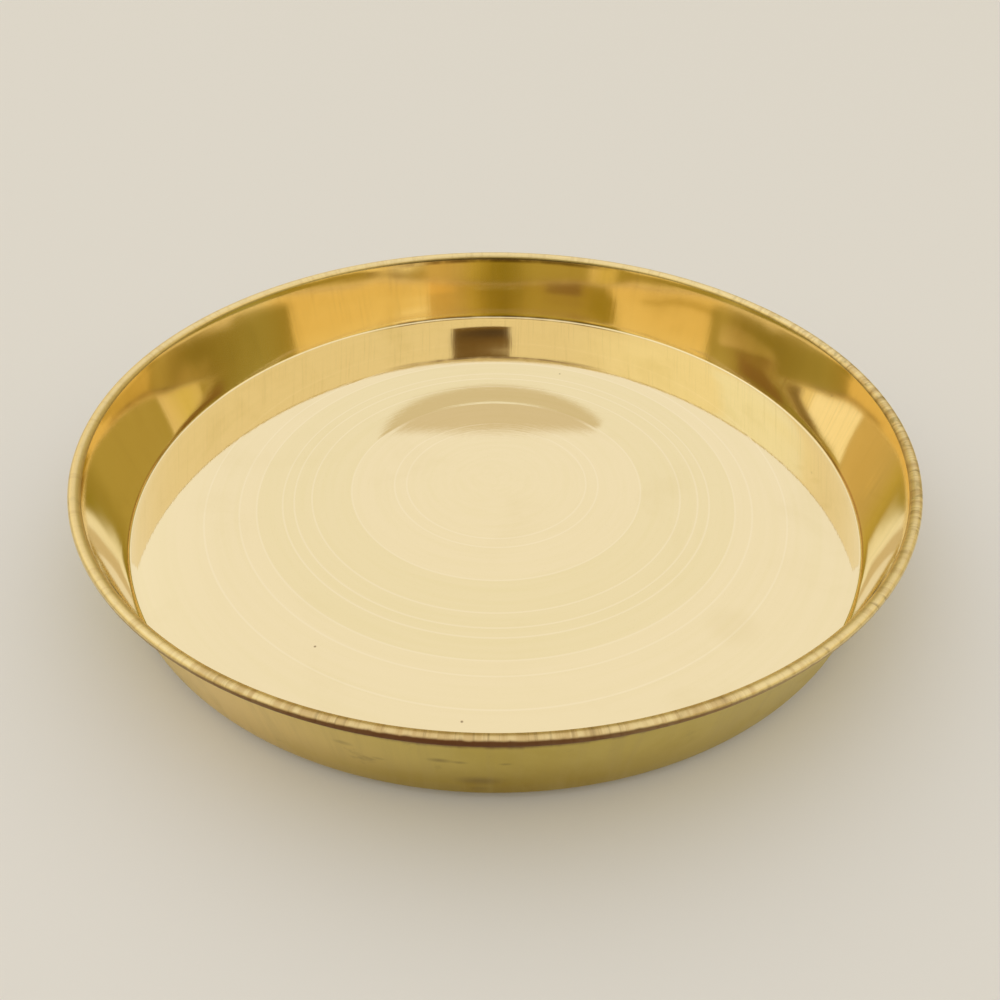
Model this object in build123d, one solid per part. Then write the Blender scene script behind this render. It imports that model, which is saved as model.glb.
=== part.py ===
from build123d import *

import math
import os

# Thali plate: a round brass dish spun from one sheet, its edge rolled outwards over a stiffening wire.
# Millimetres, +Z up. The origin is the centre of the base, on the table.

# Driving dimensions of the dish
OUTER_DIAMETER = 305.0  # across the rolled rim
HEIGHT = 40.0  # from the table to the top of the rim
FLOOR_DIAMETER = 284.5  # inside, up to where the corner starts
FLOOR_RISE = 4.2  # from the flat middle of the floor up to where the corner starts
FLOOR_BEND_RADIUS = 250.0  # between the flat middle and the rising outer floor
SHEET = 0.7  # thickness of the brass sheet
CORNER_RADIUS = 1.5  # inside corner between the floor and the wall

# Rings left standing in the floor by the spinning lathe
PAD_RING_DIAMETER = 120.0  # edge of the pad that held the disc flat on the lathe
PAD_RING_WIDTH = 4.0
PAD_RING_RISE = 0.15
TOOL_RING_DIAMETER = 195.0  # where the spinner's tool was set down again
TOOL_RING_WIDTH = 6.0
TOOL_RING_RISE = 0.1

# Rolled rim and its wire
WIRE_DIAMETER = 1.2
WIRE_CLEARANCE = 0.05  # between the wire and the sheet that is rolled round it
WIRE_BUTT_GAP = 0.5  # between the two cut ends of the wire
EDGE_GAP = 0.4  # between the tucked-in edge of the sheet and the back of the lip

# The curl goes once round the wire. The lip bends more widely, so that the edge can tuck in behind it.
curl_radius = WIRE_DIAMETER / 2 + WIRE_CLEARANCE + SHEET
lip_radius = curl_radius + SHEET + EDGE_GAP
crown_radius = OUTER_DIAMETER / 2 - curl_radius
wire_height = HEIGHT - curl_radius

# The floor is flat inside the pad ring. From there it bends up and runs straight to the corner.
pad_ring_end = (PAD_RING_DIAMETER + PAD_RING_WIDTH) / 2
floor_end = Vector(FLOOR_DIAMETER / 2, SHEET + FLOOR_RISE)
bend_to_end = floor_end - Vector(pad_ring_end, SHEET + FLOOR_BEND_RADIUS)
slope_length = math.sqrt(bend_to_end.length**2 - FLOOR_BEND_RADIUS**2)
floor_slope = math.degrees(
    math.atan2(bend_to_end.Y, bend_to_end.X) + math.asin(FLOOR_BEND_RADIUS / bend_to_end.length)
)

# The wall is the straight line that touches the corner's circle and the lip's circle on opposite sides.
corner_centre = floor_end + Vector(0, CORNER_RADIUS).rotate(Axis.Z, floor_slope)
corner_to_lip = Vector(crown_radius, HEIGHT - lip_radius) - corner_centre
both_radii = CORNER_RADIUS + lip_radius
wall_length = math.sqrt(corner_to_lip.length**2 - both_radii**2)
wall_flare = math.degrees(
    math.atan2(corner_to_lip.X, corner_to_lip.Y) - math.asin(both_radii / corner_to_lip.length)
)

# The curl stops where the cut edge comes within the edge gap of the lip's back.
lip_offset = lip_radius - curl_radius
back_of_lip = lip_radius - SHEET - EDGE_GAP
curl_turn = 360 - math.degrees(
    math.acos((back_of_lip**2 - curl_radius**2 - lip_offset**2) / (2 * lip_offset * curl_radius))
)


def ring_steps(width, rise):
    """A low round ring: up, over the top and down again, in three arcs that meet smoothly."""
    slope = 2 * math.atan(2 * rise / width)
    radius = width / (4 * math.sin(slope))
    slope = math.degrees(slope)
    return [(radius, slope), (radius, -2 * slope), (radius, slope)]


def section_steps():
    """The inside of the sheet, from the axis to the cut edge: straight lengths, and arcs as (radius, turn)."""
    ring_to_end = (FLOOR_DIAMETER - TOOL_RING_DIAMETER) / 2 / math.cos(math.radians(floor_slope))
    after_ring = ring_to_end - TOOL_RING_WIDTH / 2
    return [
        pad_ring_end - PAD_RING_WIDTH,
        *ring_steps(PAD_RING_WIDTH, PAD_RING_RISE),
        (FLOOR_BEND_RADIUS, floor_slope),
        slope_length - TOOL_RING_WIDTH - after_ring,
        *ring_steps(TOOL_RING_WIDTH, TOOL_RING_RISE),
        after_ring,
        (CORNER_RADIUS, 90 - floor_slope - wall_flare),
        wall_length,
        (lip_radius, wall_flare - 90),
        (curl_radius, -curl_turn),
    ]


def sheet_side(depth):
    """One side of the sheet, drawn from the axis outwards: the inside at depth 0, the outside at one sheet."""
    point = Vector(0, SHEET - depth)
    heading = Vector(1, 0)
    edges = []
    for step in section_steps():
        if isinstance(step, tuple):
            radius, turn = step
            edge = JernArc(point, heading, radius + math.copysign(depth, turn), turn)
        else:
            edge = Line(point, point + heading * step)
        point, heading = edge @ 1, edge % 1
        edges.append(edge)
    return edges


def dish():
    """Floor, corner, wall and rolled rim, turned from one section of even thickness."""
    inside = sheet_side(0)
    outside = sheet_side(SHEET)
    axis_line = Line(inside[0] @ 0, outside[0] @ 0)
    cut_edge = Line(inside[-1] @ 1, outside[-1] @ 1)
    section = make_face([*inside, cut_edge, *outside, axis_line])
    return revolve(Plane.XZ * section, Axis.Z)


def rim_wire():
    """Round wire bent to a hoop inside the rolled rim, with its cut ends butted together."""
    hoop_turn = 360 - math.degrees(WIRE_BUTT_GAP / crown_radius)
    section = Pos(crown_radius, wire_height) * Circle(WIRE_DIAMETER / 2)
    return revolve(Plane.XZ * section, Axis.Z, hoop_turn)


os.makedirs("parts", exist_ok=True)
export_step(dish(), "parts/dish.step")
export_step(rim_wire(), "parts/rim_wire.step")
print(f"in degrees: floor slope {floor_slope:.2f}, wall flare {wall_flare:.2f}, curl turn {curl_turn:.1f}")
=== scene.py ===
import math

import bpy
import numpy as np
from mathutils import Matrix, Vector


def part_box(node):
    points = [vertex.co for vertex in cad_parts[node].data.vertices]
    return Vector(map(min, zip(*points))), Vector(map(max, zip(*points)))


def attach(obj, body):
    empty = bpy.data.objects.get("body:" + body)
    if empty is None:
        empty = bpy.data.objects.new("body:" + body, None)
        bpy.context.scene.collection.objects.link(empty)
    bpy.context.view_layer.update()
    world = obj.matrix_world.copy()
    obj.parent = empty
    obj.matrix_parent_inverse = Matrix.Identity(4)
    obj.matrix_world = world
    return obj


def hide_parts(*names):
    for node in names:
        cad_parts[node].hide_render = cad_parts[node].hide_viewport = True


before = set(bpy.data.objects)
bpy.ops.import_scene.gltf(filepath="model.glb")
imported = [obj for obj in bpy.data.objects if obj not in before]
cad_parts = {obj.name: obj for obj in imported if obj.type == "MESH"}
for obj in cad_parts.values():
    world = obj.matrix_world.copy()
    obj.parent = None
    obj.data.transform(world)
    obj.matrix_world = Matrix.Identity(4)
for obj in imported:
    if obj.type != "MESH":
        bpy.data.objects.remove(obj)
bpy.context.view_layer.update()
print("frame loaded with", sorted(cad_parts))

# metres throughout, +Z up, origin on the table under the middle of the plate
dish = {
    "sheet": 0.0007,
    "floorRadius": 0.14265,  # inside, up to where the corner starts
    "floorRise": 0.0042,  # from the flat middle up to the corner
    "floorBend": 0.48,  # radius of the bend between the flat middle and the rising outer floor
    "cornerRadius": 0.0010,
    "edgeGap": 0.0004,  # between the tucked-in edge and the back of the lip
    "shownTurn": 125,  # degrees of the curl that face up and out
    "padRing": (0.060, 0.004, 0.000007),  # radius, width, rise
    "toolRing": (0.0975, 0.006, 0.000006),
    "seed": 7,
}

# points round the axis in each zone: neighbours are equal or differ by a factor of two
around = {"floor": 240, "wall": 480, "lip": 960, "crown": 1920, "curl": 960, "back": 480, "outside": 240}

# rows of points along each length of the section, for a ring along one of its four quarters
rows = {
    "flat": 12, "ring": 3, "bend": 14, "gap": 2, "slope": 22,
    "corner": 8, "wall": 14, "lip": 8, "crown": 12, "curl": 8,
}

# sheet metal is never quite true: slow waves, a warped floor, a curved foot of the wall, and the cross
# creases of a hand-rolled bead
unevenness = {
    "wallWaves": ((5, 0.00006), (11, 0.00004), (19, 0.00002), (33, 0.00001)),  # waves round, depth
    "wallWaveFoot": 0.006,  # height where they start
    "floorWaves": ((3, 0.00003), (7, 0.000015)),
    "floorWaveStart": 0.066,  # radius where they start
    "saddle": (0.088, 0.016, 0.0112),  # radius where the floor starts to warp, width of the start, slope
    "cornerLift": (0.1323, 0.004, 0.05),  # the same for the turned-up edge of the floor at the back
    "footFlare": (0.0055, 0.0095, 0.06),  # height of the wall's foot and of its curved part, more lean
    "flareTurn": 2.6,  # how much of that lean is taken off at the front
    "flareStart": 0.120,  # radius on the floor where its shift starts
    "creases": 230,
    "creaseDepth": 0.00010,
    "creaseWidth": (0.0004, 0.0011),
    "creaseStrength": (0.05, 1),  # weakest and strongest, before they are squared
    "creaseSlant": 0.004,
    "creaseMiddle": (0.2, 1.0),  # from the start of the lip to the end of the crown
    "creaseReach": (0.25, 0.8),
    "beadWaves": (150, 320),  # fewest and most waves round the bead
    "beadWaveKinds": 12,
    "beadWaveDepth": 0.00004,
    "beadSide": (0.55, 0.45, 0.6),  # share all round, share that comes and goes, its angle in front of +X
}

# the rim's sizes are read from the wire that it is rolled round
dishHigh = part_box("dish")[1]
wireLow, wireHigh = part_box("rim_wire")
outerRadius = dishHigh.x
rimTop = dishHigh.z
wireRadius = (wireHigh.z - wireLow.z) / 2
crownRadius = wireHigh.x - wireRadius
curlRadius = outerRadius - crownRadius
lipRadius = curlRadius + dish["sheet"] + dish["edgeGap"]
wallTop = rimTop - lipRadius


# the outer floor is the line that leaves the bend's circle and reaches the corner at the floor's rise:
# its slope is the angle of the line from the circle's centre plus the angle whose sine is radius over length
def floorSlope():
    padEnd = dish["padRing"][0] + dish["padRing"][1] / 2
    across = dish["floorRadius"] - padEnd
    up = dish["floorRise"] - dish["floorBend"]
    span = math.hypot(across, up)
    return math.atan2(up, across) + math.asin(dish["floorBend"] / span)


# straight wall between the corner circle and the lip circle: its lean is the angle of the line of centres
# less the angle whose sine is both radii over that line
def wallLine(slope):
    cornerX = dish["floorRadius"] - dish["cornerRadius"] * math.sin(slope)
    cornerZ = dish["sheet"] + dish["floorRise"] + dish["cornerRadius"] * math.cos(slope)
    across = crownRadius - cornerX
    up = wallTop - cornerZ
    span = math.hypot(across, up)
    radii = dish["cornerRadius"] + lipRadius
    lean = math.atan2(across, up) - math.asin(radii / span)
    return lean, math.sqrt(span**2 - radii**2)


# a straight run of points: start plus heading times an even share of the length
def straightRun(point, heading, length, count):
    share = np.linspace(0, length, count + 1)[1:, None]
    return point + share * heading, np.repeat(heading[None], count, 0)


# an arc: the centre lies one radius to the left for a left turn or to the right for a right turn,
# and the radius arm swings by an even share of the turn
def arcRun(point, heading, radius, turn, count):
    side = np.sign(turn)
    left = np.array([-heading[1], heading[0]])
    centre = point + side * radius * left
    angle = np.linspace(0, turn, count + 1)[1:]
    cos, sin = np.cos(angle), np.sin(angle)
    arm = point - centre
    points = centre + np.stack([arm[0] * cos - arm[1] * sin, arm[0] * sin + arm[1] * cos], 1)
    headings = np.stack([heading[0] * cos - heading[1] * sin, heading[0] * sin + heading[1] * cos], 1)
    return points, headings


# a low ring in the floor: up, over and down in three arcs, with the slope whose rise over the width is given
def ringRuns(width, rise):
    slope = 2 * math.atan(2 * rise / width)
    bend = width / (4 * math.sin(slope))
    side = ("floor", bend, slope, rows["ring"])
    top = ("floor", bend, -2 * slope, 2 * rows["ring"])
    return [side, top, side]


# the floor from the axis to the corner: flat, the pad ring, the bend, the slope and the tool ring on it,
# where radii are divided by the slope's cosine to give lengths along it
def floorRuns(slope):
    padRadius, padWidth = dish["padRing"][:2]
    toolRadius, toolWidth = dish["toolRing"][:2]
    bendEnd = padRadius + padWidth / 2 + dish["floorBend"] * math.sin(slope)
    return [
        ("floor", padRadius - padWidth / 2, rows["flat"]),
        *ringRuns(*dish["padRing"][1:]),
        ("floor", dish["floorBend"], slope, rows["bend"]),
        ("floor", (toolRadius - bendEnd) / math.cos(slope) - toolWidth / 2, rows["gap"]),
        *ringRuns(*dish["toolRing"][1:]),
        ("floor", (dish["floorRadius"] - toolRadius) / math.cos(slope) - toolWidth / 2, rows["slope"]),
    ]


# the inside of the sheet from the axis to the cut edge, as radius and height with the heading at each point:
# the curl ends where its circle comes within the edge gap of the lip's back
def sectionInside():
    slope = floorSlope()
    lean, wallLength = wallLine(slope)
    lipDrop = lipRadius - curlRadius
    tuck = lipRadius - dish["sheet"] - dish["edgeGap"]
    curlTurn = 2 * math.pi - math.acos((tuck**2 - curlRadius**2 - lipDrop**2) / (2 * lipDrop * curlRadius))
    shownTurn = math.radians(dish["shownTurn"])
    steps = floorRuns(slope) + [
        ("wall", dish["cornerRadius"], math.pi / 2 - slope - lean, rows["corner"]),
        ("wall", wallLength, rows["wall"]),
        ("lip", lipRadius, lean - math.pi / 2, rows["lip"]),
        ("crown", curlRadius, -shownTurn, rows["crown"]),
        ("curl", curlRadius, shownTurn - curlTurn, rows["curl"]),
    ]
    point = np.array([0.0, dish["sheet"]])
    heading = np.array([1.0, 0.0])
    points, headings, zones = [point[None]], [heading[None]], ["floor"]
    for zone, *sizes in steps:
        run = straightRun if len(sizes) == 2 else arcRun
        newPoints, newHeadings = run(point, heading, *sizes)
        points.append(newPoints)
        headings.append(newHeadings)
        zones += [zone] * sizes[-1]
        point, heading = newPoints[-1], newHeadings[-1]
    return np.concatenate(points), np.concatenate(headings), np.array(zones)


# a sum of cosine waves round the axis, each with its own count, depth and random start
def wavesRound(angle, waves, random):
    total = np.zeros_like(angle)
    for count, depth in waves:
        total += depth * np.cos(count * angle + random.uniform(0, 2 * math.pi))
    return total


# creases across the bead: at each one a bell curve of the angle, slanted along the section and faded
# along it by another bell curve, and the deepest of them all is kept
def beadCreases(angle, along, random):
    count = unevenness["creases"]
    place = random.uniform(0, 2 * math.pi, count)
    strength = random.uniform(*unevenness["creaseStrength"], count) ** 2
    width = random.uniform(*unevenness["creaseWidth"], count) / crownRadius
    slant = random.normal(0, unevenness["creaseSlant"], count)
    middle = random.uniform(*unevenness["creaseMiddle"], count)
    reach = random.uniform(*unevenness["creaseReach"], count)
    apart = angle[:, None] - place - slant * along[:, None]
    apart = (apart + math.pi) % (2 * math.pi) - math.pi
    fade = np.exp(-(((along[:, None] - middle) / reach) ** 2))
    return (strength * np.exp(-((apart / width) ** 2)) * fade).max(1)


# ripples of the bead: cosines of many counts, added and scaled to run from none to the full depth
def beadWaves(angle, random):
    kinds = unevenness["beadWaveKinds"]
    counts = random.integers(*unevenness["beadWaves"], kinds)
    starts = random.uniform(0, 2 * math.pi, kinds)
    ripple = np.cos(counts * angle[:, None] + starts).mean(1)
    return unevenness["beadWaveDepth"] * (0.5 + 0.5 * ripple)


# the bead's creases and ripples, both faded along the section by the root of a sine, and stronger on the
# right and at the front by a cosine of the angle
def beadRelief(angle, row, zones, random):
    beadRows = np.flatnonzero(np.isin(zones, ("lip", "crown")))
    along = np.clip((row - beadRows[0]) / (len(beadRows) - 1), 0, 1)
    onBead = np.isin(row, beadRows)
    crease = np.zeros(len(row))
    crease[onBead] = beadCreases(angle[onBead], along[onBead], random)
    allRound, oneSide, turn = unevenness["beadSide"]
    faded = np.sin(math.pi * along) ** 0.5 * (allRound + oneSide * np.cos(angle + turn))
    return crease * faded, beadWaves(angle, random) * faded


# how far a value has come from start to end, kept between none and all of the way
def wayAlong(value, start, end):
    return np.clip((value - start) / (end - start), 0, 1)


# slow waves of the floor and the wall, each faded at both ends by a squared sine
def slowWaves(angle, radius, height, random):
    floorWay = wayAlong(radius, unevenness["floorWaveStart"], dish["floorRadius"])
    wallWay = wayAlong(height, unevenness["wallWaveFoot"], wallTop) * (radius > dish["floorRadius"])
    push = wavesRound(angle, unevenness["floorWaves"], random) * np.sin(math.pi * floorWay) ** 2
    return push + wavesRound(angle, unevenness["wallWaves"], random) * np.sin(math.pi * wallWay) ** 2


# a rise that starts at a radius as a parabola and goes over into a steady slope up to the corner
def easedSlope(radius, start, ease, slope):
    run = np.clip(radius, start, dish["floorRadius"]) - start
    return slope * np.where(run < ease, run**2 / (2 * ease), run - ease / 2)


# the warp lifts the floor at the back by a squared sine of the angle, most at its turned-up edge, lowers it
# elsewhere, and fades out up the wall
def floorWarp(angle, radius, height):
    backShare = np.clip(np.sin(angle), 0, 1) ** 2
    warp = easedSlope(radius, *unevenness["saddle"]) * (2 * backShare - 1)
    warp += easedSlope(radius, *unevenness["cornerLift"]) * backShare
    return warp * (1 - wayAlong(height, dish["sheet"] + dish["floorRise"], wallTop))


# the foot of the wall moves in by a parabola of the height, and out instead at the front
def footFlare(angle, radius, height):
    foot, reach, lean = unevenness["footFlare"]
    flare = lean * reach / 2 * np.clip(1 - (height - foot) / reach, 0, 1) ** 2
    flare *= 1 - unevenness["flareTurn"] * np.clip(-np.sin(angle), 0, 1) ** 2
    return flare * wayAlong(radius, unevenness["flareStart"], dish["floorRadius"])


# faces between two rows of points round the axis: quads where the counts match, three triangles to each
# coarse side where one row has twice the points, and a fan from a single point
def bandFaces(startA, countA, startB, countB):
    if countA == 1 or countB == 1:
        ring = np.arange(max(countA, countB))
        after = (ring + 1) % len(ring)
        if countA == 1:
            return np.stack([np.full_like(ring, startA), startB + ring, startB + after], 1)
        return np.stack([startA + after, startA + ring, np.full_like(ring, startB)], 1)
    if countA == countB:
        ring = np.arange(countA)
        after = (ring + 1) % countA
        return np.stack([startA + ring, startB + ring, startB + after, startA + after], 1)
    coarse = np.arange(min(countA, countB))
    after = (coarse + 1) % len(coarse)
    fine = 2 * coarse
    middle = fine + 1
    fineAfter = (fine + 2) % (2 * len(coarse))
    if countA < countB:
        a, b, c, d, e = startA + coarse, startA + after, startB + fine, startB + middle, startB + fineAfter
        return np.concatenate([np.stack(t, 1) for t in ((a, c, d), (a, d, b), (b, d, e))])
    a, b, c, d, e = startB + coarse, startB + after, startA + fine, startA + middle, startA + fineAfter
    return np.concatenate([np.stack(t, 1) for t in ((a, d, c), (a, b, d), (b, e, d))])


# the section and its parallel one sheet below, carried round the axis in rows of as many points as the
# zone needs, then moved by the unevenness: waves, creases and ripples go along the section's own normal,
# and the bead is pushed inwards only, so that it keeps its outer size
def buildDish():
    random = np.random.default_rng(dish["seed"])
    points, headings, zones = sectionInside()
    normals = np.stack([-headings[:, 1], headings[:, 0]], 1)
    kept = np.unique(np.append(np.arange(0, len(points), 2), len(points) - 1))[::-1]  # every other row behind
    section = np.concatenate([points, (points - dish["sheet"] * normals)[kept]])
    outward = np.concatenate([normals, normals[kept]])
    inner = np.arange(len(section)) < len(points)
    backs = np.where(np.isin(zones[kept], ("lip", "crown", "curl")), "back", "outside")
    zones = np.concatenate([zones, backs])
    counts = np.array([around[zone] for zone in zones])
    onAxis = np.abs(section[:, 0]) < 1e-9
    counts[onAxis] = 1
    starts = np.concatenate([[0], np.cumsum(counts)[:-1]])
    row = np.repeat(np.arange(len(counts)), counts)
    angle = 2 * math.pi * (np.arange(len(row)) - starts[row]) / counts[row]
    radius, height = section[row].T

    push = slowWaves(angle, radius, height, random)
    crease, ripple = beadRelief(angle, row, zones, random)
    push -= unevenness["creaseDepth"] * crease + ripple
    movedRadius = radius + push * outward[row, 0] - footFlare(angle, radius, height)
    movedHeight = np.maximum(height + push * outward[row, 1] + floorWarp(angle, radius, height), 0)
    vertices = np.stack([movedRadius * np.cos(angle), movedRadius * np.sin(angle), movedHeight], 1)

    faces, slots = [], []
    slotOf = {"floor": 0, "wall": 1, "lip": 2, "crown": 2, "curl": 2, "back": 2, "outside": 3}
    for i in range(len(counts) - 1):
        band = bandFaces(starts[i], counts[i], starts[i + 1], counts[i + 1]).tolist()
        faces += band
        slots += [slotOf[zones[i + 1] if inner[i + 1] else zones[i]]] * len(band)
    mesh = bpy.data.meshes.new("spunDish")
    mesh.from_pydata(vertices, [], faces)
    mesh.polygons.foreach_set("material_index", slots)
    mesh.attributes.new("crease", "FLOAT", "POINT").data.foreach_set("value", crease)
    mesh.shade_smooth()
    piece = bpy.data.objects.new("spunDish", mesh)
    bpy.context.scene.collection.objects.link(piece)
    triangles = sum(len(face) - 2 for face in faces)
    print("dish surface:", len(vertices), "points", triangles, "triangles")
    return piece


# a node with its settings: an input given as another node's output is linked, any other is set
def addNode(tree, kind, inputs, **settings):
    node = tree.nodes.new(kind)
    for name, value in settings.items():
        setattr(node, name, value)
    for name, value in inputs.items():
        socket = node.inputs[name]
        if isinstance(value, bpy.types.NodeSocket):
            tree.links.new(value, socket)
        else:
            socket.default_value = value
    return node


# one arithmetic step on one to three values
def compute(tree, operation, *values, clamp=False):
    node = addNode(tree, "ShaderNodeMath", dict(enumerate(values)), operation=operation, use_clamp=clamp)
    return node.outputs[0]


# a smooth step from 0 to 1 while the value goes from low to high, or down again where low is above high
def smoothStep(tree, value, low, high):
    inputs = {"Value": value, "From Min": low, "From Max": high}
    if low > high:
        inputs = {"Value": value, "From Min": high, "From Max": low, "To Min": 1.0, "To Max": 0.0}
    node = addNode(tree, "ShaderNodeMapRange", inputs, interpolation_type="SMOOTHSTEP")
    return node.outputs["Result"]


# one colour laid over another: the lower one times what the mask leaves, plus the upper one times the mask
def layOver(tree, mask, under, over):
    node = addNode(tree, "ShaderNodeMix", {}, data_type="RGBA", blend_type="MIX")
    for name, value in (("Factor_Float", mask), ("A_Color", under), ("B_Color", over)):
        socket = next(s for s in node.inputs if s.identifier == name)
        if isinstance(value, bpy.types.NodeSocket):
            tree.links.new(value, socket)
        else:
            socket.default_value = value
    return next(s for s in node.outputs if s.identifier == "Result_Color")


# the same by a mask times a share
def layShare(tree, mask, share, under, over):
    return layOver(tree, compute(tree, "MULTIPLY", mask, share), under, over)


# one step on vectors, whose result is a vector, or a number for a length, distance or dot product
def computeVector(tree, operation, *values, output="Vector"):
    node = addNode(tree, "ShaderNodeVectorMath", dict(enumerate(values)), operation=operation)
    return node.outputs[output]


# a vector times a number
def scaleVector(tree, vector, factor):
    node = addNode(tree, "ShaderNodeVectorMath", {0: vector, "Scale": factor}, operation="SCALE")
    return node.outputs["Vector"]


# a vector's numbers along X, Y and Z
def splitVector(tree, vector):
    return addNode(tree, "ShaderNodeSeparateXYZ", {"Vector": vector}).outputs


# a vector from its numbers along X, Y and Z
def joinVector(tree, x, y, z=0.0):
    return addNode(tree, "ShaderNodeCombineXYZ", {"X": x, "Y": y, "Z": z}).outputs["Vector"]


# cloudy noise, about a half on average
def addNoise(tree, vector, scale, detail, roughness, distortion=0.0):
    inputs = {
        "Vector": vector,
        "Scale": scale,
        "Detail": detail,
        "Roughness": roughness,
        "Distortion": distortion,
    }
    return addNode(tree, "ShaderNodeTexNoise", inputs).outputs["Fac"]


# a group's frame: named inputs with their usual values and named outputs, all plain numbers
def newGroup(name, inputs, outputs):
    tree = bpy.data.node_groups.new(name, "ShaderNodeTree")
    for label, usual in inputs.items():
        tree.interface.new_socket(label, in_out="INPUT", socket_type="NodeSocketFloat").default_value = usual
    for label in outputs:
        tree.interface.new_socket(label, in_out="OUTPUT", socket_type="NodeSocketFloat")
    return tree, tree.nodes.new("NodeGroupInput").outputs, tree.nodes.new("NodeGroupOutput").inputs


# the place on the plate: the point itself, its distance from the axis, its height, and a point on a circle
# of the rim's size that stands for the direction round the axis
def placeRound(tree):
    point = addNode(tree, "ShaderNodeTexCoord", {}).outputs["Object"]
    apart = splitVector(tree, point)
    flat = joinVector(tree, apart["X"], apart["Y"])
    radius = computeVector(tree, "LENGTH", flat, output="Value")
    onRim = scaleVector(tree, computeVector(tree, "NORMALIZE", flat), outerRadius)
    return {"point": point, "radius": radius, "height": apart["Z"], "onRim": onRim}


# lathe lines: noise that changes quickly with the radius and slowly round the axis
def spinLinesGroup():
    tree, given, out = newGroup("spinLines", {"Fineness": 900.0, "Arc": 12.0}, ("Lines",))
    at = placeRound(tree)
    turn = splitVector(tree, scaleVector(tree, at["onRim"], given["Arc"]))
    across = compute(tree, "MULTIPLY", at["radius"], given["Fineness"])
    place = joinVector(tree, turn["X"], turn["Y"], across)
    tree.links.new(addNoise(tree, place, scale=1.0, detail=3.0, roughness=0.55), out["Lines"])
    return tree


# hairlines up the wall: noise that changes quickly round the axis and slowly with the height
def hairlinesGroup():
    tree, given, out = newGroup("hairlines", {"Fineness": 900.0, "Upward": 30.0}, ("Hairlines",))
    at = placeRound(tree)
    turn = splitVector(tree, scaleVector(tree, at["onRim"], given["Fineness"]))
    upward = compute(tree, "MULTIPLY", at["height"], given["Upward"])
    place = joinVector(tree, turn["X"], turn["Y"], upward)
    tree.links.new(addNoise(tree, place, scale=1.0, detail=4.0, roughness=0.6), out["Hairlines"])
    return tree


# tarnish: soft cloudy patches, cut off below a threshold so that some of the metal stays clean
def tarnishGroup():
    tree, given, out = newGroup("tarnish", {"Scale": 30.0, "Start": 0.5, "Full": 0.75}, ("Tarnish",))
    point = addNode(tree, "ShaderNodeTexCoord", {}).outputs["Object"]
    noise = addNoise(tree, point, given["Scale"], detail=5.0, roughness=0.6, distortion=0.4)
    inputs = {"Value": noise, "From Min": given["Start"], "From Max": given["Full"]}
    step = addNode(tree, "ShaderNodeMapRange", inputs, interpolation_type="SMOOTHSTEP")
    tree.links.new(step.outputs["Result"], out["Tarnish"])
    return tree


# specks: the middle of the few cells of a scattered pattern whose random number is high enough
def specksGroup():
    tree, given, out = newGroup("specks", {"Scale": 120.0, "Size": 0.06, "Rarity": 0.93}, ("Specks",))
    point = addNode(tree, "ShaderNodeTexCoord", {}).outputs["Object"]
    cell = addNode(tree, "ShaderNodeTexVoronoi", {"Vector": point, "Scale": given["Scale"]}).outputs
    chance = addNode(tree, "ShaderNodeSeparateColor", {"Color": cell["Color"]}).outputs["Red"]
    chosen = compute(tree, "GREATER_THAN", chance, given["Rarity"])
    near = compute(tree, "LESS_THAN", cell["Distance"], given["Size"])
    tree.links.new(compute(tree, "MULTIPLY", chosen, near), out["Specks"])
    return tree


spinLines = spinLinesGroup()
hairlines = hairlinesGroup()
tarnish = tarnishGroup()
specks = specksGroup()
print("shared effects:", [group.name for group in bpy.data.node_groups])


# places a shared effect in a material with its own values
def effect(tree, group, **values):
    return addNode(tree, "ShaderNodeGroup", values, node_tree=group).outputs[0]


# a metal material whose colour, roughness and height are worked out by its own nodes
def newMetal(name):
    material = bpy.data.materials.new(name)
    material.use_nodes = True
    shader = material.node_tree.nodes["Principled BSDF"]
    shader.inputs["Metallic"].default_value = 1.0
    return material, material.node_tree, shader


# a bump: the slopes of a height, times a distance in metres, tilt the normal by a share
def addBump(tree, shader, height, strength, distance):
    inputs = {"Height": height, "Strength": strength, "Distance": distance}
    bump = addNode(tree, "ShaderNodeBump", inputs)
    tree.links.new(bump.outputs["Normal"], shader.inputs["Normal"])


brass = {
    "polished": (0.885, 0.755, 0.465, 1),
    "satin": (0.85, 0.727, 0.415, 1),
    # painted highlight on the floor's fine rings
    "ringHighlight": (0.93, 0.81, 0.54, 1),
    "wall": (0.89, 0.755, 0.45, 1),
    "bead": (0.66, 0.48, 0.21, 1),
    "beadWorn": (0.89, 0.72, 0.36, 1),
    "dull": (0.69, 0.555, 0.14, 1),
    "dullLight": (0.93, 0.71, 0.28, 1),
    "dullDark": (0.38, 0.25, 0.015, 1),
    "olive": (0.60, 0.47, 0.15, 1),
    "moss": (0.36, 0.27, 0.09, 1),
    "rosy": (0.50, 0.30, 0.17, 1),
    "brown": (0.17, 0.09, 0.03, 1),
    "paintedShadeBrown": (0.15, 0.05, 0.014, 1),
}

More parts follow.
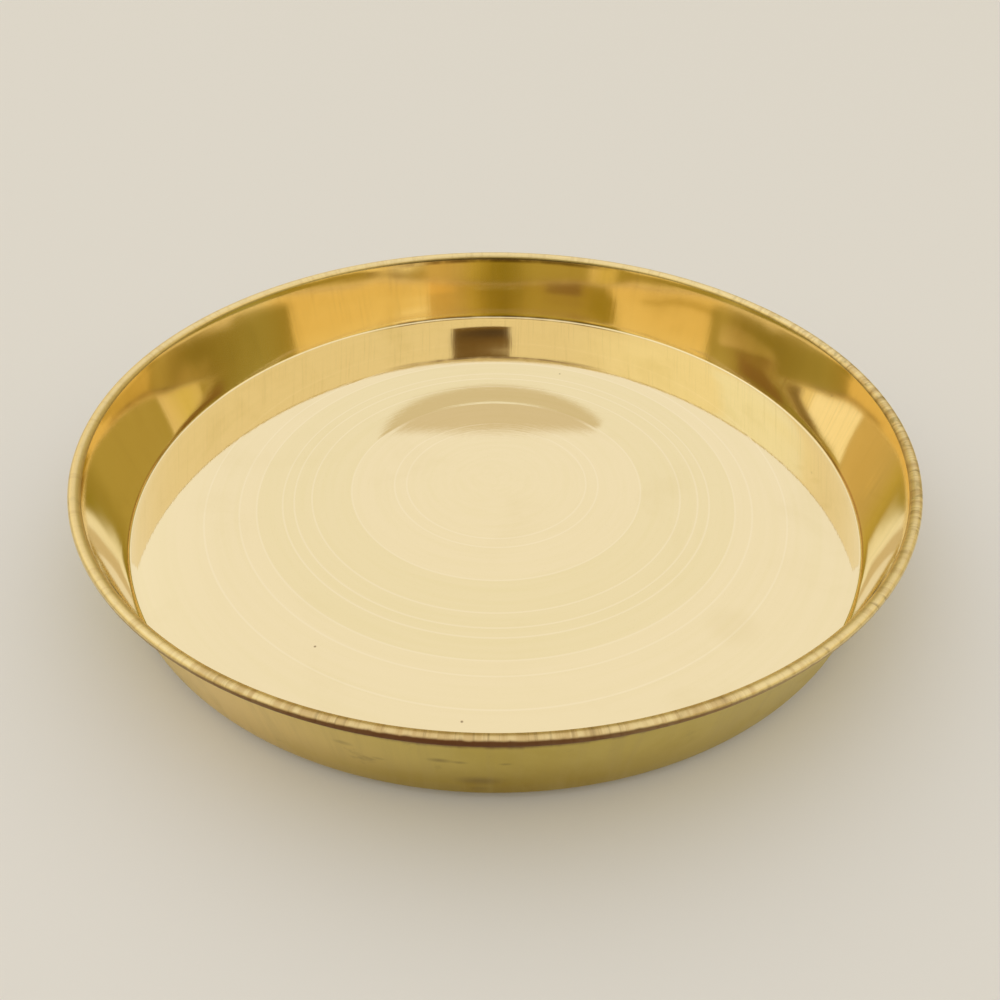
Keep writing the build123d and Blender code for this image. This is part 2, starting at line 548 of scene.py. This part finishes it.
floorFinish = {
    "roughness": (0.02, 0.03),  # polished, satin
    "satinRing": (0.060, 0.0975),  # the duller ring between the two lathe rings
    "satinEdge": (0.001, 0.0008),  # half widths of its inner and outer edge
    "satinShare": 0.65,
    "lines": {"Fineness": 420.0, "Arc": 9.0},
    "lineTone": (0.35, 0.75),  # noise: none, full
    "lineShare": 0.35,
    "fineRings": (0.0375, 0.0425, 0.060, 0.076, 0.083, 0.0875, 0.0975, 0.104, 0.117),  # radii
    "fineRingWidth": 0.0006,
    "ringHighlightShare": 0.6,
    "clouds": {"Scale": 22.0, "Start": 0.52, "Full": 0.8},
    "cloudShare": 0.12,
    "stains": (  # x, y, size
        (0.0791, -0.0836, 0.012),
        (0.1320, -0.0045, 0.003),
        (0.1288, 0.0049, 0.003),
        (0.1309, -0.0210, 0.003),
    ),
    "stainShare": 0.1,
    "specks": ((-0.0099, -0.1212, 0.0006), (-0.0586, -0.0923, 0.0006), (0.0321, 0.0871, 0.0006)),
    "speckShare": 0.7,
    "spotCore": 0.3,  # share of a stain's or speck's size that is full
    "scatter": {"Scale": 70.0, "Size": 0.02, "Rarity": 0.95},
    "scatterShare": 0.4,
    "turning": {"Fineness": 2600.0, "Arc": 30.0},
    "ringHeight": 0.4,  # of the fine rings against the turning
    "bump": (0.03, 0.0001),  # strength, height in metres
}


# spots round given places on the floor: each fades out with the distance from its place
def spots(tree, point, places, strength):
    flat = computeVector(tree, "MULTIPLY", point, (1, 1, 0))
    total = 0.0
    for x, y, size in places:
        gap = computeVector(tree, "DISTANCE", flat, (x, y, 0), output="Value")
        spot = smoothStep(tree, gap, size, size * floorFinish["spotCore"])
        total = compute(tree, "MULTIPLY_ADD", spot, strength, total)
    return total


# nearness to a place: 1 there, falling smoothly to 0 at its reach
def nearness(tree, point, middle, reach):
    return smoothStep(tree, computeVector(tree, "DISTANCE", point, middle, output="Value"), reach, 0.0)


# floor: polished brass, a finely turned satin ring, fine rings painted lighter as a painted highlight,
# faint stains and a few specks
def floorBrass():
    material, tree, shader = newMetal("floorBrass")
    at = placeRound(tree)
    inner, outer = floorFinish["satinRing"]
    innerEdge, outerEdge = floorFinish["satinEdge"]
    satin = compute(tree, "MULTIPLY", smoothStep(tree, at["radius"], inner - innerEdge, inner + innerEdge),
                    smoothStep(tree, at["radius"], outer + outerEdge, outer - outerEdge))
    lines = smoothStep(tree, effect(tree, spinLines, **floorFinish["lines"]), *floorFinish["lineTone"])
    satinTone = compute(tree, "MULTIPLY_ADD", lines, floorFinish["lineShare"],
                        compute(tree, "MULTIPLY", satin, floorFinish["satinShare"]))
    colour = layOver(tree, satinTone, brass["polished"], brass["satin"])
    rings = 0.0
    for ring in floorFinish["fineRings"]:
        offset = compute(tree, "ABSOLUTE", compute(tree, "SUBTRACT", at["radius"], ring))
        rings = compute(tree, "ADD", smoothStep(tree, offset, floorFinish["fineRingWidth"], 0.0), rings)
    # painted highlight: the fine rings are painted lighter
    colour = layShare(tree, rings, floorFinish["ringHighlightShare"], colour, brass["ringHighlight"])
    clouds = effect(tree, tarnish, **floorFinish["clouds"])
    stains = spots(tree, at["point"], floorFinish["stains"], floorFinish["stainShare"])
    stained = compute(tree, "MULTIPLY_ADD", clouds, floorFinish["cloudShare"], stains)
    colour = layOver(tree, stained, colour, brass["olive"])
    scatter = effect(tree, specks, **floorFinish["scatter"])
    placed = spots(tree, at["point"], floorFinish["specks"], floorFinish["speckShare"])
    speckled = compute(tree, "MULTIPLY_ADD", scatter, floorFinish["scatterShare"], placed)
    colour = layOver(tree, speckled, colour, brass["brown"])
    tree.links.new(colour, shader.inputs["Base Color"])
    polished, dull = floorFinish["roughness"]
    rough = compute(tree, "MULTIPLY_ADD", satinTone, dull - polished, polished)
    tree.links.new(rough, shader.inputs["Roughness"])
    turning = effect(tree, spinLines, **floorFinish["turning"])
    turned = compute(tree, "MULTIPLY_ADD", rings, floorFinish["ringHeight"], turning)
    addBump(tree, shader, turned, *floorFinish["bump"])
    return material


wallFinish = {
    "roughness": 0.05,
    "hairRoughness": 0.05,  # more of it with the hairlines
    "hair": {"Fineness": 850.0, "Upward": 25.0},
    "hairTone": (0.5, 0.8),  # noise: none, full
    "hairShare": 0.16,
    "clouds": {"Scale": 28.0, "Start": 0.48, "Full": 0.78},
    "cloudShare": 0.25,
    "scatter": {"Scale": 90.0, "Size": 0.05, "Rarity": 0.9},
    "scatterShare": 0.4,
    "patches": {"Scale": 60.0, "Start": 0.3, "Full": 0.6},
    "paintedShadeShare": (0.5, 0.3),  # in the patches, and everywhere on top
    "paintedShade": (  # heights: none below, most, none above; how far back: none, full; tint
        ((0.0045, 0.0052, 0.0062), (0.07, 0.0), "rosy"),  # painted shade in the corner at the sides and front
        ((0.0058, 0.0065, 0.0076), (0.122, 0.136), "brown"),  # painted shade in the corner at the back, where the floor is raised
        ((0.0350, 0.0366, 0.0385), (0.132, 0.146), "brown"),  # painted shade under the lip at the back
    ),
    "bump": (0.045, 0.0002),
}


# wall inside: deeper gold with hairlines up it, cloudy tarnish, and lines of painted shade along the corner
# and under the lip
def wallBrass():
    material, tree, shader = newMetal("wallBrass")
    at = placeRound(tree)
    hair = effect(tree, hairlines, **wallFinish["hair"])
    clouds = effect(tree, tarnish, **wallFinish["clouds"])
    colour = layShare(tree, clouds, wallFinish["cloudShare"], brass["wall"], brass["olive"])
    hairMask = smoothStep(tree, hair, *wallFinish["hairTone"])
    colour = layShare(tree, hairMask, wallFinish["hairShare"], colour, brass["dullDark"])
    scatter = effect(tree, specks, **wallFinish["scatter"])
    colour = layShare(tree, scatter, wallFinish["scatterShare"], colour, brass["brown"])
    patches = effect(tree, tarnish, **wallFinish["patches"])
    shadeStrength = compute(tree, "MULTIPLY_ADD", patches, *wallFinish["paintedShadeShare"])
    back = splitVector(tree, at["point"])["Y"]
    # painted shade: dark lines along the corner and under the lip, broken up by the patches
    for (start, most, end), side, tint in wallFinish["paintedShade"]:
        paintedShade = compute(tree, "MULTIPLY", smoothStep(tree, at["height"], start, most),
                        smoothStep(tree, at["height"], end, most))
        paintedShade = compute(tree, "MULTIPLY", paintedShade, shadeStrength)
        paintedShade = compute(tree, "MULTIPLY", paintedShade, smoothStep(tree, back, *side))
        colour = layOver(tree, paintedShade, colour, brass[tint])
    tree.links.new(colour, shader.inputs["Base Color"])
    rough = compute(tree, "MULTIPLY_ADD", hair, wallFinish["hairRoughness"], wallFinish["roughness"])
    tree.links.new(rough, shader.inputs["Roughness"])
    addBump(tree, shader, hair, *wallFinish["bump"])
    return material


rimFinish = {
    "metallic": 0.78,
    "roughness": 0.36,
    "shadeRoughness": 0.3,  # more of it where the shade is painted
    "broad": {"Fineness": 300.0, "Upward": 60.0},
    "fine": {"Fineness": 900.0, "Upward": 120.0},
    "patches": {"Scale": 45.0, "Start": 0.42, "Full": 0.7},
    "front": ((-0.012, -0.152, 0.039), 0.13),  # middle and reach of the stretch with the most ticks, the least wear and the most painted shade
    "right": ((0.152, 0.0, 0.039), 0.15),  # middle and reach of the spotted side
    "wornTone": (0.36, 0.6),  # noise: none, full
    "wornShare": (-0.55, 0.7),  # less at the front, more away from the front and the right
    "tickTone": (0.52, 0.74),
    "tickShare": (0.2, 0.38, 0.05),  # in the patches and all along the front and right, and all round
    "blots": {"Scale": 260.0, "Start": 0.5, "Full": 0.72},
    "blotShare": (0.6, 0.15),  # on the right, and all round
    "creaseTone": (0.15, 0.9),
    "creaseShare": 0.5,
    "lipShadeLine": (0.1490, 0.1488),  # painted shade line where the lip meets the wall: radii where it is clean, dark
    "lipShadeShift": 0.0004,  # how much further out that line lies at the front
    "lipShadeShare": 0.5,
    "paintedShade": (0.03995, 0.0395),  # painted shade on the bead's outer side at the front: heights, none above, full below
    "shadeInside": 0.1511,  # radius within which no shade is painted on the bead
    "shadeDrop": 0.0008,  # how much lower the painted shade starts away from the front
    "shadeRagged": 0.0006,  # how far its edge goes up and down
    "paintedShadeShare": (0.5, 0.46),  # at the front, and all round
    "bump": (0.06, 0.0003),
}


# bead: worn brass, brown in its creases and ticks, a painted shade line where it meets the wall, and painted
# shade on the lower half of its outer side
def rimBrass():
    material, tree, shader = newMetal("rimBrass")
    shader.inputs["Metallic"].default_value = rimFinish["metallic"]
    at = placeRound(tree)
    crease = addNode(tree, "ShaderNodeAttribute", {}, attribute_name="crease").outputs["Fac"]
    broad = effect(tree, hairlines, **rimFinish["broad"])
    fine = effect(tree, hairlines, **rimFinish["fine"])
    patches = effect(tree, tarnish, **rimFinish["patches"])
    front = nearness(tree, at["point"], *rimFinish["front"])
    right = nearness(tree, at["point"], *rimFinish["right"])
    marked = compute(tree, "MAXIMUM", front, right)
    wornFront, wornAway = rimFinish["wornShare"]
    worn = compute(tree, "MULTIPLY_ADD", front, wornFront, smoothStep(tree, broad, *rimFinish["wornTone"]))
    worn = compute(tree, "MULTIPLY_ADD", compute(tree, "SUBTRACT", 1.0, marked), wornAway, worn, clamp=True)
    colour = layOver(tree, worn, brass["bead"], brass["beadWorn"])
    tickPatches, tickMarked, tickRound = rimFinish["tickShare"]
    tickAlong = compute(tree, "MULTIPLY_ADD", patches, tickPatches, tickMarked)
    tickShare = compute(tree, "MULTIPLY_ADD", marked, tickAlong, tickRound)
    ticks = compute(tree, "MULTIPLY", smoothStep(tree, fine, *rimFinish["tickTone"]), tickShare)
    colour = layOver(tree, ticks, colour, brass["brown"])
    blotShare = compute(tree, "MULTIPLY_ADD", right, *rimFinish["blotShare"])
    blots = compute(tree, "MULTIPLY", effect(tree, tarnish, **rimFinish["blots"]), blotShare)
    colour = layOver(tree, blots, colour, brass["moss"])
    creaseMask = smoothStep(tree, crease, *rimFinish["creaseTone"])
    colour = layShare(tree, creaseMask, rimFinish["creaseShare"], colour, brass["brown"])
    # painted shade: a dark line where the lip meets the wall
    lipPlace = compute(tree, "MULTIPLY_ADD", front, -rimFinish["lipShadeShift"], at["radius"])
    lipShadeLine = smoothStep(tree, lipPlace, *rimFinish["lipShadeLine"])
    colour = layShare(tree, lipShadeLine, rimFinish["lipShadeShare"], colour, brass["moss"])
    # painted shade on the lower half of the bead's outer side, most at the front
    away = compute(tree, "SUBTRACT", 1.0, front)
    offset = compute(tree, "SUBTRACT", broad, 0.5)
    ragged = compute(tree, "MULTIPLY_ADD", offset, -rimFinish["shadeRagged"], at["height"])
    lowered = compute(tree, "MULTIPLY_ADD", away, rimFinish["shadeDrop"], ragged)
    paintedShade = smoothStep(tree, lowered, *rimFinish["paintedShade"])
    outer = compute(tree, "GREATER_THAN", at["radius"], rimFinish["shadeInside"])
    paintedShadeShare = compute(tree, "MULTIPLY_ADD", front, *rimFinish["paintedShadeShare"])
    paintedShade = compute(tree, "MULTIPLY", compute(tree, "MULTIPLY", paintedShade, outer), paintedShadeShare)
    colour = layOver(tree, paintedShade, colour, brass["paintedShadeBrown"])
    tree.links.new(colour, shader.inputs["Base Color"])
    rough = compute(tree, "MULTIPLY_ADD", paintedShade, rimFinish["shadeRoughness"], rimFinish["roughness"])
    tree.links.new(rough, shader.inputs["Roughness"])
    addBump(tree, shader, broad, *rimFinish["bump"])
    return material


outsideFinish = {
    "roughness": 0.36,
    "cloudRoughness": 0.12,  # more of it in the clouds
    "clouds": {"Scale": 24.0, "Start": 0.45, "Full": 0.8},
    "cloudShare": 0.2,
    "lighter": ((-0.078, -0.122, 0.020), 0.08),  # middle and reach of the side that is painted lighter, as painted light
    "front": ((0.0, -0.146, 0.020), 0.11),  # middle and reach of the side with painted shade low down and under the bead
    "lowShade": (0.024, 0.004),  # heights: none above, full below
    "lowShadeShare": 0.75,
    "hair": {"Fineness": 260.0, "Upward": 18.0},
    "streakTone": (0.45, 0.75),  # noise: none, full
    "streakShare": 0.35,
    "patches": {"Scale": 75.0, "Start": 0.6, "Full": 0.78},
    "patchShare": 0.35,
    "lines": {"Fineness": 700.0, "Arc": 16.0},
    "smudgeLines": (0.8, -0.1),  # how the lathe lines break up the smudges: share, offset
    "smudgeSquash": (1.0, 1.0, 2.5),  # how much narrower the smudges are along each axis
    "smudges": (  # middle and reach
        ((-0.014, -0.146, 0.0232), 0.0045),
        ((-0.009, -0.146, 0.0228), 0.003),
        ((0.0026, -0.1466, 0.0224), 0.0025),
        ((-0.004, -0.1450, 0.0120), 0.009),
        ((-0.039, -0.1415, 0.0240), 0.004),
        ((-0.030, -0.1420, 0.0190), 0.003),
    ),
    "scatter": {"Scale": 80.0, "Size": 0.05, "Rarity": 0.9},
    "scatterShare": 0.5,
    "paintedShade": (0.0314, 0.0338),  # painted shade under the bead: heights, none below, full above
    "shadeRagged": 0.002,  # how far its edge goes up and down
    "paintedShadeShare": 0.92,
    "bump": (0.2, 0.0002),
}


# outside and underside: unpolished satin brass with lathe lines, streaks and smudges, painted shade low down
# at the front and under the bead, and one side painted lighter as painted light
def outsideBrass():
    material, tree, shader = newMetal("outsideBrass")
    at = placeRound(tree)
    clouds = effect(tree, tarnish, **outsideFinish["clouds"])
    hair = effect(tree, hairlines, **outsideFinish["hair"])
    lines = effect(tree, spinLines, **outsideFinish["lines"])
    front = nearness(tree, at["point"], *outsideFinish["front"])
    lighter = nearness(tree, at["point"], *outsideFinish["lighter"])
    # painted light: one side of the outside is painted lighter
    colour = layOver(tree, lighter, brass["dull"], brass["dullLight"])
    # painted shade low down at the front, mixed with cloudy tarnish
    lowShade = compute(tree, "MULTIPLY", smoothStep(tree, at["height"], *outsideFinish["lowShade"]), front)
    lowShadeAndTarnish = compute(tree, "MULTIPLY_ADD", lowShade, outsideFinish["lowShadeShare"],
                    compute(tree, "MULTIPLY", clouds, outsideFinish["cloudShare"]))
    colour = layOver(tree, lowShadeAndTarnish, colour, brass["dullDark"])
    streaks = smoothStep(tree, hair, *outsideFinish["streakTone"])
    colour = layShare(tree, streaks, outsideFinish["streakShare"], colour, brass["olive"])
    patches = effect(tree, tarnish, **outsideFinish["patches"])
    colour = layShare(tree, patches, outsideFinish["patchShare"], colour, brass["brown"])
    smudges = 0.0
    squash = Vector(outsideFinish["smudgeSquash"])
    squashed = computeVector(tree, "MULTIPLY", at["point"], squash)
    for middle, reach in outsideFinish["smudges"]:
        smudges = compute(tree, "ADD", nearness(tree, squashed, Vector(middle) * squash, reach), smudges)
    broken = compute(tree, "MULTIPLY_ADD", lines, *outsideFinish["smudgeLines"])
    colour = layOver(tree, compute(tree, "MULTIPLY", smudges, broken), colour, brass["brown"])
    scatter = effect(tree, specks, **outsideFinish["scatter"])
    colour = layShare(tree, scatter, outsideFinish["scatterShare"], colour, brass["brown"])
    # painted shade just under the bead at the front
    ragged = compute(tree, "MULTIPLY_ADD", hair, outsideFinish["shadeRagged"], at["height"])
    paintedShade = compute(tree, "MULTIPLY", smoothStep(tree, ragged, *outsideFinish["paintedShade"]), front)
    colour = layShare(tree, paintedShade, outsideFinish["paintedShadeShare"], colour, brass["paintedShadeBrown"])
    tree.links.new(colour, shader.inputs["Base Color"])
    rough = compute(tree, "MULTIPLY_ADD", clouds, outsideFinish["cloudRoughness"], outsideFinish["roughness"])
    tree.links.new(rough, shader.inputs["Roughness"])
    addBump(tree, shader, lines, *outsideFinish["bump"])
    return material


wireFinish = {
    "steel": (0.42, 0.41, 0.40, 1),
    "rusty": (0.20, 0.11, 0.06, 1),
    "rust": {"Scale": 160.0, "Start": 0.5, "Full": 0.7},
    "roughness": 0.35,
    "rustRoughness": 0.3,  # more of it in the rust
}


# wire: drawn steel, grey with a little rust
def wireSteel():
    material, tree, shader = newMetal("wireSteel")
    rust = effect(tree, tarnish, **wireFinish["rust"])
    colour = layOver(tree, rust, wireFinish["steel"], wireFinish["rusty"])
    tree.links.new(colour, shader.inputs["Base Color"])
    rough = compute(tree, "MULTIPLY_ADD", rust, wireFinish["rustRoughness"], wireFinish["roughness"])
    tree.links.new(rough, shader.inputs["Roughness"])
    return material


spunDish = buildDish()
for finish in (floorBrass, wallBrass, rimBrass, outsideBrass):
    spunDish.data.materials.append(finish())
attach(spunDish, "root")
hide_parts("dish")

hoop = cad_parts["rim_wire"]
drawnSteel = wireSteel()
for place in hoop.material_slots:
    place.material = drawnSteel
print("finishes:", [material.name for material in spunDish.data.materials])

# pale table, far larger than the picture
ground = {"size": 12.0, "colour": (0.80, 0.79, 0.77, 1), "roughness": 0.9}
half = ground["size"] / 2
corners = [(-half, -half, 0), (half, -half, 0), (half, half, 0), (-half, half, 0)]
groundMesh = bpy.data.meshes.new("table")
groundMesh.from_pydata(corners, [], [(0, 1, 2, 3)])
table = bpy.data.objects.new("table", groundMesh)
bpy.context.scene.collection.objects.link(table)
paleTable = bpy.data.materials.new("paleTable")
paleTable.use_nodes = True
paleShader = paleTable.node_tree.nodes["Principled BSDF"]
paleShader.inputs["Base Color"].default_value = ground["colour"]
paleShader.inputs["Roughness"].default_value = ground["roughness"]
groundMesh.materials.append(paleTable)

# soft studio: a white ceiling and upper walls, warm and dimmer near the horizon; angles in degrees,
# with azimuth 0 behind the plate and 90 to the right
studio = {
    "white": (0.98, 0.95, 0.93, 1),
    "whiteLeft": (1.10, 1.10, 1.08, 1),
    "leftShare": (-0.25, -0.6),  # the direction's share along X: none, full
    "warmWhite": (1.05, 0.90, 0.56, 1),  # low down on both sides
    "sideShare": (0.4, 0.65),  # the direction's share along X to either side: none, full
    "warmHeights": (42.0, 30.0),  # elevations: none above, full below
    "skyline": (  # azimuth, elevation where the white begins
        (-180, 29), (-128, 29), (-125, 15.4), (-80, 15.4), (-66, 12.3), (-54, 12.6), (-47, 14.3),
        (-42, 15.2), (-40.5, 33), (-15, 33), (-12, 29.5), (-10, 27.1), (-5, 28.3), (0, 29.4),
        (4, 29.0), (7, 28.2), (10, 27.7), (12.5, 29.5), (16, 33), (54, 33), (58, 31.2), (67, 31.2),
        (78, 15.2), (131, 15.2), (134, 29), (180, 29),
    ),
    "low": (  # azimuth, colour under the white
        (-180, (0.36, 0.32, 0.10, 1)), (-150, (0.45, 0.43, 0.18, 1)), (-123, (0.43, 0.35, 0.08, 1)),
        (-80, (0.43, 0.33, 0.07, 1)), (-70, (0.22, 0.14, 0.045, 1)), (-60, (0.26, 0.17, 0.05, 1)),
        (-52, (0.44, 0.34, 0.10, 1)), (-43, (0.52, 0.38, 0.10, 1)), (-40.5, (0.78, 0.60, 0.28, 1)),
        (-30, (0.73, 0.56, 0.25, 1)), (-22, (0.67, 0.53, 0.24, 1)), (-14, (0.62, 0.50, 0.14, 1)),
        (-6, (0.42, 0.33, 0.06, 1)), (4, (0.32, 0.25, 0.03, 1)), (20, (0.52, 0.43, 0.13, 1)),
        (50, (0.52, 0.42, 0.13, 1)), (64, (0.42, 0.34, 0.05, 1)), (80, (0.46, 0.36, 0.09, 1)),
        (130, (0.42, 0.36, 0.10, 1)), (143, (0.58, 0.52, 0.24, 1)), (155, (0.40, 0.34, 0.12, 1)),
        (165, (0.35, 0.31, 0.09, 1)), (180, (0.36, 0.32, 0.10, 1)),
    ),
    "horizon": (0.10, 0.065, 0.025, 1),
    "horizonHeights": (10.0, 1.0),  # elevations: none above, full below
    "softness": 0.5,  # of the skyline
    "panels": (  # azimuth, elevation, half width, half height, softness, colour share
        (-1.0, 32.5, 8.5, 1.25, 0.15, (0.77, 0.69, 0.54, 1)),
        (-1.0, 29.2, 10.5, 1.8, 0.5, (1.08, 1.12, 1.12, 1)),
        (41.0, 27.8, 10.5, 4.6, 0.6, (0.60, 0.50, 0.75, 1)),
        (63.0, 14.5, 7.5, 4.5, 0.2, (1.95, 2.0, 4.8, 1)),
        (113.0, 29.2, 20.0, 1.3, 0.5, (0.72, 0.70, 0.50, 1)),
        (159.0, 25.0, 17.0, 1.0, 0.6, (1.6, 1.6, 2.8, 1)),
        (169.0, 21.4, 15.0, 2.2, 0.5, (0.8, 0.6, 0.8, 1)),
        (173.0, 51.1, 7.1, 6.3, 0.4, (0.20, 0.13, 0.052, 1)),
        (173.0, 50.0, 7.1, 4.0, 1.2, (0.38, 0.42, 0.9, 1)),
        (-58.0, 50.0, 14.0, 5.0, 2.5, (1.0, 1.07, 1.25, 1)),
        (-33.0, 25.8, 8.0, 2.8, 0.8, (1.35, 1.3, 1.3, 1)),
        (-52.0, 16.5, 10.0, 4.0, 1.0, (1.12, 1.22, 1.65, 1)),
    ),
}


# a soft panel in the surroundings: the direction's shares along the panel's own axes, over its share
# towards the panel, give the tangents of the angles across and up
def panelMask(tree, direction, azimuth, elevation, halfWidth, halfHeight, softness):
    a, e = math.radians(azimuth), math.radians(elevation)
    towards = Vector((math.sin(a) * math.cos(e), math.cos(a) * math.cos(e), math.sin(e)))
    sideways = Vector((math.cos(a), -math.sin(a), 0))
    upwards = sideways.cross(towards)
    depth = computeVector(tree, "DOT_PRODUCT", direction, towards, output="Value")
    mask = compute(tree, "GREATER_THAN", depth, 0.0)
    for axis, reach in ((sideways, halfWidth), (upwards, halfHeight)):
        share = computeVector(tree, "DOT_PRODUCT", direction, axis, output="Value")
        tangent = compute(tree, "ABSOLUTE", compute(tree, "DIVIDE", share, depth))
        outer, inner = math.tan(math.radians(reach + softness)), math.tan(math.radians(reach - softness))
        mask = compute(tree, "MULTIPLY", mask, smoothStep(tree, tangent, outer, inner))
    return mask


# a colour for each azimuth from -180 to 180 degrees: its place on the ramp is the azimuth over 360 and a half
def roundRamp(tree, azimuth, stops):
    share = compute(tree, "MULTIPLY_ADD", azimuth, 1 / 360, 0.5)
    node = addNode(tree, "ShaderNodeValToRGB", {"Fac": share})
    elements = node.color_ramp.elements
    for place, colour in stops[1:-1]:
        elements.new(place / 360 + 0.5).color = colour
    elements[0].color = stops[0][1]
    elements[-1].color = stops[-1][1]
    return node.outputs["Color"]


# the surroundings: the low colours of each azimuth, darker at the horizon, and white above the skyline,
# all times the colour shares of the soft panels; the skyline's elevations go through the ramp over 90
def buildStudio():
    world = bpy.data.worlds.new("studio")
    world.use_nodes = True
    tree = world.node_tree
    direction = addNode(tree, "ShaderNodeTexCoord", {}).outputs["Generated"]
    apart = splitVector(tree, direction)
    elevation = compute(tree, "DEGREES", compute(tree, "ARCSINE", apart["Z"]))
    azimuth = compute(tree, "DEGREES", compute(tree, "ARCTAN2", apart["X"], apart["Y"]))
    stops = [(place, (height / 90, height / 90, height / 90, 1)) for place, height in studio["skyline"]]
    skyline = roundRamp(tree, azimuth, stops)
    start = addNode(tree, "ShaderNodeSeparateColor", {"Color": skyline}).outputs["Red"]
    above = compute(tree, "MULTIPLY_ADD", start, -90.0, elevation)
    low = roundRamp(tree, azimuth, studio["low"])
    low = layOver(tree, smoothStep(tree, elevation, *studio["horizonHeights"]), low, studio["horizon"])
    onLeft = smoothStep(tree, apart["X"], *studio["leftShare"])
    white = layOver(tree, onLeft, studio["white"], studio["whiteLeft"])
    onSide = smoothStep(tree, compute(tree, "ABSOLUTE", apart["X"]), *studio["sideShare"])
    lowDown = compute(tree, "MULTIPLY", onSide, smoothStep(tree, elevation, *studio["warmHeights"]))
    white = layOver(tree, lowDown, white, studio["warmWhite"])
    colour = layOver(tree, smoothStep(tree, above, -studio["softness"], studio["softness"]), low, white)
    for *place, share in studio["panels"]:
        panel = layOver(tree, panelMask(tree, direction, *place), (1, 1, 1, 1), share)
        colour = computeVector(tree, "MULTIPLY", colour, panel)
    tree.links.new(colour, tree.nodes["Background"].inputs["Color"])
    bpy.context.scene.world = world


buildStudio()
print("studio with", len(studio["panels"]), "soft panels")

# camera where the photograph was taken from: back along -Y and up, tilted down, with a slight turn and roll
viewpoint = {
    "back": 0.25457,
    "up": 0.19481,
    "turn": -0.3643,  # degrees, as are the next two
    "tilt": -38.9009,
    "roll": -0.4238,
    "lens": 27.3946,  # millimetres, as is the sensor
    "sensor": 36,
    "clipStart": 0.01,
}
cameraData = bpy.data.cameras.new("viewpoint")
cameraData.lens = viewpoint["lens"]
cameraData.sensor_width = viewpoint["sensor"]
cameraData.clip_start = viewpoint["clipStart"]
camera = bpy.data.objects.new("viewpoint", cameraData)
bpy.context.scene.collection.objects.link(camera)
turned = Matrix.Rotation(math.radians(viewpoint["turn"]), 4, "Z")
tilted = Matrix.Rotation(math.radians(90 + viewpoint["tilt"]), 4, "X")
rolled = Matrix.Rotation(math.radians(-viewpoint["roll"]), 4, "Z")
camera.matrix_world = Matrix.Translation((0, -viewpoint["back"], viewpoint["up"])) @ turned @ tilted @ rolled
bpy.context.scene.camera = camera
bpy.context.scene.view_settings.view_transform = "Standard"
